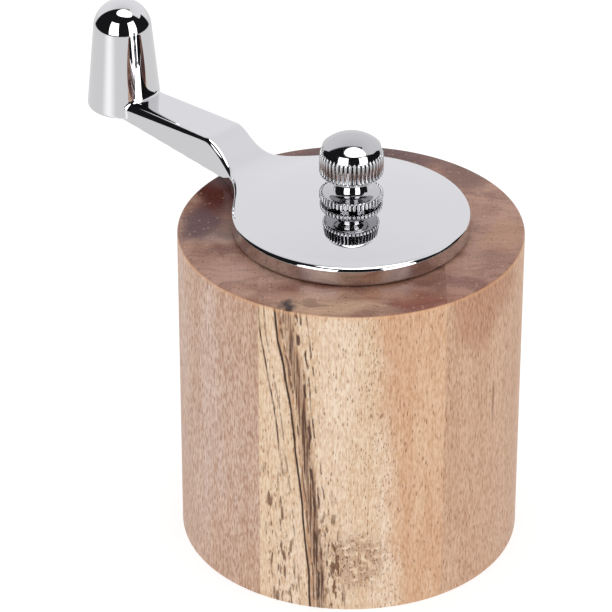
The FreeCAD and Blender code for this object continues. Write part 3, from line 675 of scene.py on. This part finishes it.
def skin(field, low, high, cell):
    """Vertices, quads and normals of the surface where field is 0, drawn on a lattice."""
    axes = [np.arange(a, b + cell, cell) for a, b in zip(low, high)]
    shape = tuple(len(a) for a in axes)
    lattice = np.stack(np.meshgrid(*axes, indexing="ij"), -1).reshape(-1, 3)
    value = field(lattice).reshape(shape)
    total = np.zeros(tuple(n - 1 for n in shape) + (3,))
    count = np.zeros(total.shape[:3])
    corner = np.stack(np.meshgrid(*[np.arange(n - 1) for n in shape], indexing="ij"), -1)
    for axis in range(3):
        step = np.eye(3, dtype=int)[axis]
        others = [a for a in range(3) if a != axis]
        for first in (0, 1):
            for second in (0, 1):
                shift = np.zeros(3, int)
                shift[others[0]], shift[others[1]] = first, second
                a = value[tuple(slice(s, n - 1 + s) for s, n in zip(shift, shape))]
                b = value[tuple(slice(s, n - 1 + s) for s, n in zip(shift + step, shape))]
                crosses = (a < 0) != (b < 0)
                along_edge = np.where(crosses, a / np.where(crosses, a - b, 1), 0)
                at = shift + corner[crosses] + along_edge[crosses][:, None] * step
                total[crosses] += at
                count[crosses] += 1
    used = count > 0
    number = np.full(used.shape, -1)
    number[used] = np.arange(used.sum())
    points = np.array(low) + cell * total[used] / count[used][:, None]
    quads = []
    for axis in range(3):
        a_axis, b_axis = [(1, 2), (2, 0), (0, 1)][axis]
        inner = [slice(1, n - 1) for n in shape]
        inner[axis] = slice(0, shape[axis] - 1)
        ahead = list(inner)
        ahead[axis] = slice(1, shape[axis])
        a, b = value[tuple(inner)] < 0, value[tuple(ahead)] < 0
        where = np.argwhere(a != b)
        leaving = a[tuple(where.T)]
        where += [0 if k == axis else 1 for k in range(3)]
        back_a, back_b = np.eye(3, dtype=int)[a_axis], np.eye(3, dtype=int)[b_axis]
        ring = [where - back_a - back_b, where - back_b, where, where - back_a]
        loop = np.stack([number[tuple(c.T)] for c in ring], 1)
        quads.append(np.where(leaving[:, None], loop, loop[:, ::-1]))
    quads = np.vstack(quads)

    def slope(at):
        """The field's gradient, by differences over a small step."""
        small = 0.02
        return np.stack([
            field(at + small * axis) - field(at - small * axis) for axis in np.eye(3)
        ], 1) / (2 * small)

    edges = np.vstack([quads[:, [0, 1]], quads[:, [1, 2]], quads[:, [2, 3]], quads[:, [3, 0]]])
    for settle in range(SETTLING_ROUNDS):
        # even out the lattice's steps, then put each point back on the surface
        if settle < SMOOTHING_ROUNDS:
            mean = np.zeros_like(points)
            share = np.bincount(edges[:, 0], minlength=len(points))[:, None]
            for axis in range(3):
                mean[:, axis] = np.bincount(edges[:, 0], points[edges[:, 1], axis], len(points))
            points = 0.5 * points + 0.5 * mean / np.maximum(share, 1)
        gradient = slope(points)
        size = np.maximum((gradient**2).sum(1), 0.05)
        shift = field(points) / size
        points = points - np.clip(shift, -cell / 2, cell / 2)[:, None] * gradient
    gradient = slope(points)
    normals = gradient / np.maximum(np.linalg.norm(gradient, axis=1), 1e-9)[:, None]
    return points, quads, normals


def chromed(name, colour, clear, dull, grain):
    """Bright plating on polished metal: mirror-like, with faint waviness and a few pits."""
    material, tree = new_material(name)
    place = node(tree, "TexCoord", out="Object")
    wave = node(tree, "TexNoise", {"Vector": place, "Scale": 160.0, "Detail": 2.0})
    pits = node(tree, "TexNoise", {"Vector": place, "Scale": 1500.0, "Detail": 1.0})
    pit = fade(tree, pits, 0.80 - 0.2 * grain, 0.84)
    uneven = calc(tree, "SUBTRACT", wave, calc(tree, "MULTIPLY", pit, 0.5))
    bump = node(tree, "Bump", {
        "Strength": 0.10 + 0.2 * grain, "Distance": 0.00002, "Height": uneven,
    })
    haze = node(tree, "TexNoise", {"Vector": place, "Scale": 55.0, "Detail": 4.0})
    rough = fade(tree, haze, 0.35, 0.75, clear, dull)
    finish_material(tree, node(tree, "BsdfPrincipled", {
        "Base Color": colour, "Metallic": 1.0, "Roughness": rough, "Normal": bump,
    }))
    return material


chrome = chromed("bright_chrome", (0.70, 0.70, 0.715, 1), 0.015, 0.035, 0.0)
points, quads, normals = skin(casting, CAST_LOW, CAST_HIGH, CAST_CELL)
mesh = bpy.data.meshes.new("crank")
mesh.from_pydata(((points + [0, 0, TOP_MM]) * MM).tolist(), [], quads.tolist())
mesh.shade_smooth()
mesh.normals_split_custom_set_from_vertices(normals.tolist())
mesh.materials.append(chrome)
crank = bpy.data.objects.new("crank", mesh)
bpy.context.scene.collection.objects.link(crank)
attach(crank, "crank")
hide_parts("crank_handle")


# ---------------------------------------------------------------- the grind nut
# A turned steel finial nut, chromed: a knurled flange that bears on the disc, a waisted neck
# and a knurled head with a domed top. It screws onto the shaft's thread and sets the grind.
NUT_SIDES = 96
RIBS = 44
RIB_THICK, RIB_WIDE, RIB_EDGE = 0.80, 0.64, 0.22
RIB_RING_R = 6.03
HEAD_KNURL = (12.5, 17.6)
FLANGE_KNURL = (7.08, 8.45)
# outlines as (radius, height above the block), in millimetres
BORE = [(0, 19.0), (2.5, 18.35), (2.5, 7.15), (2.85, 6.76)]
FLANGE = [
    (4.9, 6.76), (5.2, 7.0), (5.5, 7.2), (5.85, 7.3), (5.85, 8.3), (5.7, 8.44), (4.98, 8.54),
]
BELL = [(4.6, 8.6), (4.2, 8.75), (3.7, 9.1), (3.35, 9.6), (3.1, 10.3), (3.0, 11.2)]
UNDER_HEAD = [(3.0, 11.9), (3.12, 12.2), (3.5, 12.38), (5.5, 12.5), (5.85, 12.75)]
HEAD = [(5.85, 16.9), (6.0, 17.1), (6.1, 17.25)]
DOME_FOOT_R, DOME_FOOT_Z, DOME_RISE, DOME_STEPS = 6.1, 18.46, 2.65, 18
NUT_SHARP_DEGREES = 40


def above_block(outline):
    """An outline in metres, raised to the block's top."""
    return [(r * MM, BLOCK_TOP + z * MM) for r, z in outline]


def arc(centre, radius, first, last, steps=10):
    """Points of an arc in an outline, angles in degrees from straight out."""
    turns = [math.radians(first + (last - first) * i / steps) for i in range(steps + 1)]
    return [(centre[0] + radius * math.cos(a), centre[1] + radius * math.sin(a)) for a in turns]


ball_r = (DOME_FOOT_R**2 + DOME_RISE**2) / (2 * DOME_RISE)
foot_angle = math.degrees(math.asin((ball_r - DOME_RISE) / ball_r))
dome = arc((0, DOME_FOOT_Z + DOME_RISE - ball_r), ball_r, foot_angle, 90, DOME_STEPS)[1:]
profile = above_block(BORE + FLANGE + BELL + UNDER_HEAD + HEAD + dome)
profile[-1] = (0, profile[-1][1])
smoky = chromed("nut_chrome", (0.53, 0.53, 0.545, 1), 0.05, 0.10, 0.5)
core = add_piece("nut_core", lathe(profile, NUT_SIDES, closed=False), smoky, NUT_SHARP_DEGREES)

tree = bpy.data.node_groups.new("knurling", "GeometryNodeTree")
for name, kind in (
    ("Core", "Geometry"), ("Ribs", "Int"), ("Rib depth", "Float"), ("Rib width", "Float"),
    ("Rib edge", "Float"), ("Ring radius", "Float"),
    ("Head foot", "Float"), ("Head top", "Float"), ("Flange foot", "Float"),
    ("Flange top", "Float"), ("Finish", "Material"),
):
    tree.interface.new_socket(name, in_out="INPUT", socket_type="NodeSocket" + kind)
tree.interface.new_socket("Nut", in_out="OUTPUT", socket_type="NodeSocketGeometry")
given = tree.nodes.new("NodeGroupInput").outputs


def upright_ribs(foot, top):
    """A ring of upright ribs, flat outside, whose ends taper off."""
    line = node(tree, "GeometryNodeCurvePrimitiveLine", {
        "Start": node(tree, "CombineXYZ", {2: foot}), "End": node(tree, "CombineXYZ", {2: top}),
    })
    line = node(tree, "GeometryNodeResampleCurve", {"Curve": line, "Count": 13})
    along_rib = node(tree, "GeometryNodeSplineParameter")
    from_middle = calc(tree, "ABSOLUTE", calc(tree, "MULTIPLY_ADD", along_rib, 2.0, -1.0))
    swell = calc(tree, "SUBTRACT", 1.02, calc(tree, "POWER", from_middle, 10.0))
    swell = calc(tree, "SQRT", swell)
    section = node(tree, "GeometryNodeCurvePrimitiveQuadrilateral", {
        "Width": given["Rib depth"], "Height": given["Rib width"],
    })
    section = node(tree, "GeometryNodeFilletCurve", {
        "Curve": section, "Radius": given["Rib edge"], "Count": 2,
    }, mode="POLY")
    rib = node(tree, "GeometryNodeCurveToMesh", {
        "Curve": line, "Profile Curve": section, "Scale": swell, "Fill Caps": True,
    })
    ring = node(tree, "GeometryNodeMeshCircle", {
        "Vertices": given["Ribs"], "Radius": given["Ring radius"],
    })
    pitch = calc(tree, "DIVIDE", 2 * math.pi, given["Ribs"])
    turned = calc(tree, "MULTIPLY", node(tree, "GeometryNodeInputIndex"), pitch)
    return node(tree, "GeometryNodeInstanceOnPoints", {
        "Points": ring, "Instance": rib, "Rotation": node(tree, "CombineXYZ", {2: turned}),
    })


joined = tree.nodes.new("GeometryNodeJoinGeometry")
tree.links.new(upright_ribs(given["Head foot"], given["Head top"]), joined.inputs[0])
tree.links.new(upright_ribs(given["Flange foot"], given["Flange top"]), joined.inputs[0])
tree.links.new(given["Core"], joined.inputs[0])
whole = node(tree, "GeometryNodeRealizeInstances", {"Geometry": joined.outputs[0]})
whole = node(tree, "GeometryNodeSetShadeSmooth", {"Geometry": whole})
whole = node(tree, "GeometryNodeSetMaterial", {"Geometry": whole, "Material": given["Finish"]})
tree.links.new(whole, tree.nodes.new("NodeGroupOutput").inputs[0])


def run_tree(name, source, tree, values):
    """Runs a Geometry Nodes tree on source and returns its result as a plain new piece."""
    modifier = source.modifiers.new("tree", "NODES")
    modifier.node_group = tree
    sockets = {item.name: item.identifier for item in tree.interface.items_tree}
    for key, value in values.items():
        modifier[sockets[key]] = value
    ready = source.evaluated_get(bpy.context.evaluated_depsgraph_get())
    mesh = bpy.data.meshes.new_from_object(ready)
    mesh.name = name
    bpy.data.objects.remove(source)
    made = bpy.data.objects.new(name, mesh)
    bpy.context.scene.collection.objects.link(made)
    return made


nut = run_tree("nut", core, tree, {
    "Ribs": RIBS, "Rib depth": RIB_THICK * MM, "Rib width": RIB_WIDE * MM,
    "Rib edge": RIB_EDGE * MM, "Ring radius": RIB_RING_R * MM, "Finish": smoky,
    "Head foot": BLOCK_TOP + HEAD_KNURL[0] * MM,
    "Head top": BLOCK_TOP + HEAD_KNURL[1] * MM,
    "Flange foot": BLOCK_TOP + FLANGE_KNURL[0] * MM,
    "Flange top": BLOCK_TOP + FLANGE_KNURL[1] * MM,
})
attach(nut, "nut")
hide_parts("grind_nut")


# ---------------------------------------------------------------- the ring in the mouth
# A turned steel ring pressed into the top of the block. The crank's lip runs in it, and its
# flange keeps the wood round the filling mouth from wearing.
RING_FOOT = 65.3
RING_IN_R, RING_OUT_R = 15.5, 16.9
RING_FLANGE_R, RING_FLANGE_H = 21.0, 1.2
RING_SIDES = 160
RING_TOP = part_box("mouth_ring")[1][2] / MM


def turned_steel(name, colour, rough, ridges):
    """Steel or brass off a lathe: fine rings from the tool, and a little uneven shine."""
    material, tree = new_material(name)
    here = node(tree, "TexCoord", out="Object")
    flat = node(tree, "VectorMath", {0: here, 1: (1, 1, 0)}, operation="MULTIPLY")
    radius = node(tree, "VectorMath", {0: flat}, out="Value", operation="LENGTH")
    z = node(tree, "SeparateXYZ", {0: here}, out=2)
    across = node(tree, "CombineXYZ", {0: radius, 1: z})
    across = node(tree, "VectorMath", {0: across, "Scale": ridges}, operation="SCALE")
    rings = node(tree, "TexNoise", {"Vector": across, "Scale": 1.0, "Detail": 3.0})
    stain = node(tree, "TexNoise", {"Vector": here, "Scale": 240.0, "Detail": 3.0})
    shade = [c * 0.72 for c in colour[:3]] + [1]
    tone = blend(tree, fade(tree, stain, 0.40, 0.72), colour, shade)
    shine = fade(tree, calc(tree, "ADD", rings, stain), 0.7, 1.3, rough, rough + 0.16)
    bump = node(tree, "Bump", {"Strength": 0.12, "Distance": 0.00002, "Height": rings})
    finish_material(tree, node(tree, "BsdfPrincipled", {
        "Base Color": tone, "Metallic": 1.0, "Roughness": shine, "Normal": bump,
    }))
    return material


steel = turned_steel("turned_steel", (0.56, 0.56, 0.57, 1), 0.20, 5200.0)
outline = eased([(r * MM, z * MM, e * MM) for r, z, e in (
    (RING_IN_R, RING_FOOT, 0.2), (RING_OUT_R, RING_FOOT, 0.2),
    (RING_OUT_R, RING_TOP - RING_FLANGE_H, 0.0), (RING_FLANGE_R, RING_TOP - RING_FLANGE_H, 0.1),
    (RING_FLANGE_R, RING_TOP, 0.35), (RING_IN_R, RING_TOP, 0.30),
)], 4)
ring = add_piece("mouth_lining", lathe(outline, RING_SIDES), steel)
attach(ring, "block")
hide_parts("mouth_ring")


# ---------------------------------------------------------------- the drive shaft
# Square steel bar with its corners turned down, a groove for the spring clip, and an M5
# thread at the top, cut on the lathe, for the grind nut.
SHAFT = [c / MM for c in (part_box("drive_shaft")[0][2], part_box("drive_shaft")[1][2])]
SHAFT_HALF, SHAFT_CORNER_R, SHAFT_GROOVE_R = 2.75, 3.6, 3.0
SHAFT_GROOVE = (34.15, 35.05)
THREAD_FOOT = TOP_MM + 4.7
THREAD_R, THREAD_DEPTH, THREAD_PITCH, THREAD_ROWS = 2.45, 0.42, 0.8, 9
SHAFT_COLUMNS = 96
turns = np.arange(SHAFT_COLUMNS) * 2 * math.pi / SHAFT_COLUMNS
square = SHAFT_HALF / np.maximum(np.abs(np.cos(turns)), np.abs(np.sin(turns)))
square = np.minimum(square, SHAFT_CORNER_R)
rows = [(SHAFT[0], np.minimum(square, SHAFT_HALF)), (SHAFT[0] + 0.3, square)]
for height, narrow in zip(
    (SHAFT_GROOVE[0], SHAFT_GROOVE[0], SHAFT_GROOVE[1], SHAFT_GROOVE[1]), (0, 1, 1, 0)
):
    width = np.minimum(square, SHAFT_GROOVE_R) if narrow else square
    rows.append((height + 0.001 * len(rows), width))
rows.append((THREAD_FOOT - 0.35, square))
rows.append((THREAD_FOOT, np.minimum(square, SHAFT_HALF + 0.35)))
for height in np.arange(THREAD_FOOT + 0.01, SHAFT[1], THREAD_PITCH / THREAD_ROWS):
    phase = (height / THREAD_PITCH - turns / (2 * math.pi)) % 1.0
    cut_depth = THREAD_DEPTH * np.clip(1.35 - 2.7 * np.abs(phase - 0.5), 0, 1)
    ends = min((SHAFT[1] - height) / 0.6, (height - THREAD_FOOT) / 1.2 + 0.2, 1.0)
    taper = max(0.0, 0.5 - 0.8 * (SHAFT[1] - height))
    rows.append((height, THREAD_R - taper - cut_depth * ends))
made = bmesh.new()
loops = []
for height, row in rows:
    loops.append([
        made.verts.new((r * math.cos(a) * MM, r * math.sin(a) * MM, height * MM))
        for r, a in zip(row, turns)
    ])
for below_row, above_row in zip(loops, loops[1:]):
    for i in range(SHAFT_COLUMNS):
        j = (i + 1) % SHAFT_COLUMNS
        made.faces.new((below_row[i], below_row[j], above_row[j], above_row[i]))
made.faces.new(loops[0][::-1])
made.faces.new(loops[-1])
bmesh.ops.recalc_face_normals(made, faces=made.faces)
drawn = turned_steel("drawn_steel", (0.50, 0.50, 0.51, 1), 0.26, 2600.0)
shaft = add_piece("shaft", made, drawn, 28)
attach(shaft, "shaft")
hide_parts("drive_shaft")


# ---------------------------------------------------------------- the spring
# Wound from round spring wire. It sits between two washers on the shaft and presses the
# cone burr down against the grind nut's pull.
SPRING_R, WIRE_R, SPRING_COILS = 5.0, 0.45, 4.0
SPRING_LOW, SPRING_HIGH = (c[2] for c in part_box("spring"))
tree = bpy.data.node_groups.new("coil", "GeometryNodeTree")
for name, kind in (
    ("Start", "Geometry"), ("Coils", "Float"), ("Coil radius", "Float"), ("Wire radius", "Float"),
    ("Foot", "Float"), ("Height", "Float"), ("Finish", "Material"),
):
    tree.interface.new_socket(name, in_out="INPUT", socket_type="NodeSocket" + kind)
tree.interface.new_socket("Spring", in_out="OUTPUT", socket_type="NodeSocketGeometry")
given = tree.nodes.new("NodeGroupInput").outputs
helix = node(tree, "GeometryNodeCurveSpiral", {
    "Resolution": 48, "Rotations": given["Coils"], "Start Radius": given["Coil radius"],
    "End Radius": given["Coil radius"], "Height": given["Height"],
})
section = node(tree, "GeometryNodeCurvePrimitiveCircle", {
    "Resolution": 12, "Radius": given["Wire radius"],
})
wire = node(tree, "GeometryNodeCurveToMesh", {
    "Curve": helix, "Profile Curve": section, "Fill Caps": True,
})
wire = node(tree, "GeometryNodeTransform", {
    "Geometry": wire, "Translation": node(tree, "CombineXYZ", {2: given["Foot"]}),
})
wire = node(tree, "GeometryNodeRealizeInstances", {"Geometry": wire})
wire = node(tree, "GeometryNodeSetShadeSmooth", {"Geometry": wire})
wire = node(tree, "GeometryNodeSetMaterial", {"Geometry": wire, "Material": given["Finish"]})
tree.links.new(wire, tree.nodes.new("NodeGroupOutput").inputs[0])
wire_steel = turned_steel("spring_wire", (0.36, 0.36, 0.38, 1), 0.24, 3400.0)
blank = bpy.data.objects.new("coil_blank", bpy.data.meshes.new("coil_blank"))
bpy.context.scene.collection.objects.link(blank)
spring = run_tree("spring_coil", blank, tree, {
    "Coils": SPRING_COILS, "Coil radius": SPRING_R * MM, "Wire radius": WIRE_R * MM,
    "Foot": SPRING_LOW + WIRE_R * MM, "Height": SPRING_HIGH - SPRING_LOW - 2 * WIRE_R * MM,
    "Finish": wire_steel,
})
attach(spring, "carrier")
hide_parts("spring")
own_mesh(spring)


# ---------------------------------------------------------------- steel and brass inside
# Stamped washers and clip, a three-armed guide with a brass bush, a square-holed driver and
# its screw, and the wood screws: all stock hardware, left as they came off the machine.
for name in (
    "guide_spider", "spider_screws", "flange_screws", "thrust_washer", "lower_spring_washer",
    "rotor_driver", "rotor_screw",
):
    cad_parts[name].material_slots[0].material = steel
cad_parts["shaft_clip"].material_slots[0].material = wire_steel
brass = turned_steel("turned_brass", (0.62, 0.43, 0.17, 1), 0.24, 4200.0)
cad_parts["guide_bush"].material_slots[0].material = brass


# ---------------------------------------------------------------- the burrs and housing
# Two fired ceramic burrs, the cone on the shaft and the ring keyed into a black glass-filled
# nylon housing, which is screwed up into the block's foot and closed by a nylon ring.
ceramic, tree = new_material("fired_ceramic")
here = node(tree, "TexCoord", out="Object")
mottle = node(tree, "TexNoise", {"Vector": here, "Scale": 380.0, "Detail": 4.0})
speck = node(tree, "TexNoise", {"Vector": here, "Scale": 2600.0, "Detail": 1.0})
tone = blend(tree, fade(tree, mottle, 0.35, 0.70), (0.74, 0.72, 0.66, 1), (0.66, 0.63, 0.56, 1))
tone = blend(tree, fade(tree, speck, 0.70, 0.76, 0.0, 0.5), tone, (0.40, 0.33, 0.24, 1))
bump = node(tree, "Bump", {"Strength": 0.20, "Distance": 0.00004, "Height": speck})
finish_material(tree, node(tree, "BsdfPrincipled", {
    "Base Color": tone, "Roughness": fade(tree, mottle, 0.3, 0.7, 0.46, 0.62), "Normal": bump,
}))
nylon, tree = new_material("black_nylon")
here = node(tree, "TexCoord", out="Object")
grit = node(tree, "TexNoise", {"Vector": here, "Scale": 3200.0, "Detail": 2.0})
flow = node(tree, "TexNoise", {"Vector": here, "Scale": 150.0, "Detail": 3.0})
tone = blend(tree, fade(tree, flow, 0.35, 0.70), (0.012, 0.012, 0.013, 1), (0.022, 0.022, 0.024, 1))
bump = node(tree, "Bump", {"Strength": 0.30, "Distance": 0.00005, "Height": grit})
finish_material(tree, node(tree, "BsdfPrincipled", {
    "Base Color": tone, "Roughness": fade(tree, flow, 0.3, 0.7, 0.38, 0.52), "Normal": bump,
}))
for name in ("stator_burr", "rotor_burr"):
    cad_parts[name].material_slots[0].material = ceramic
for name in ("burr_housing", "burr_retainer"):
    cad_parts[name].material_slots[0].material = nylon
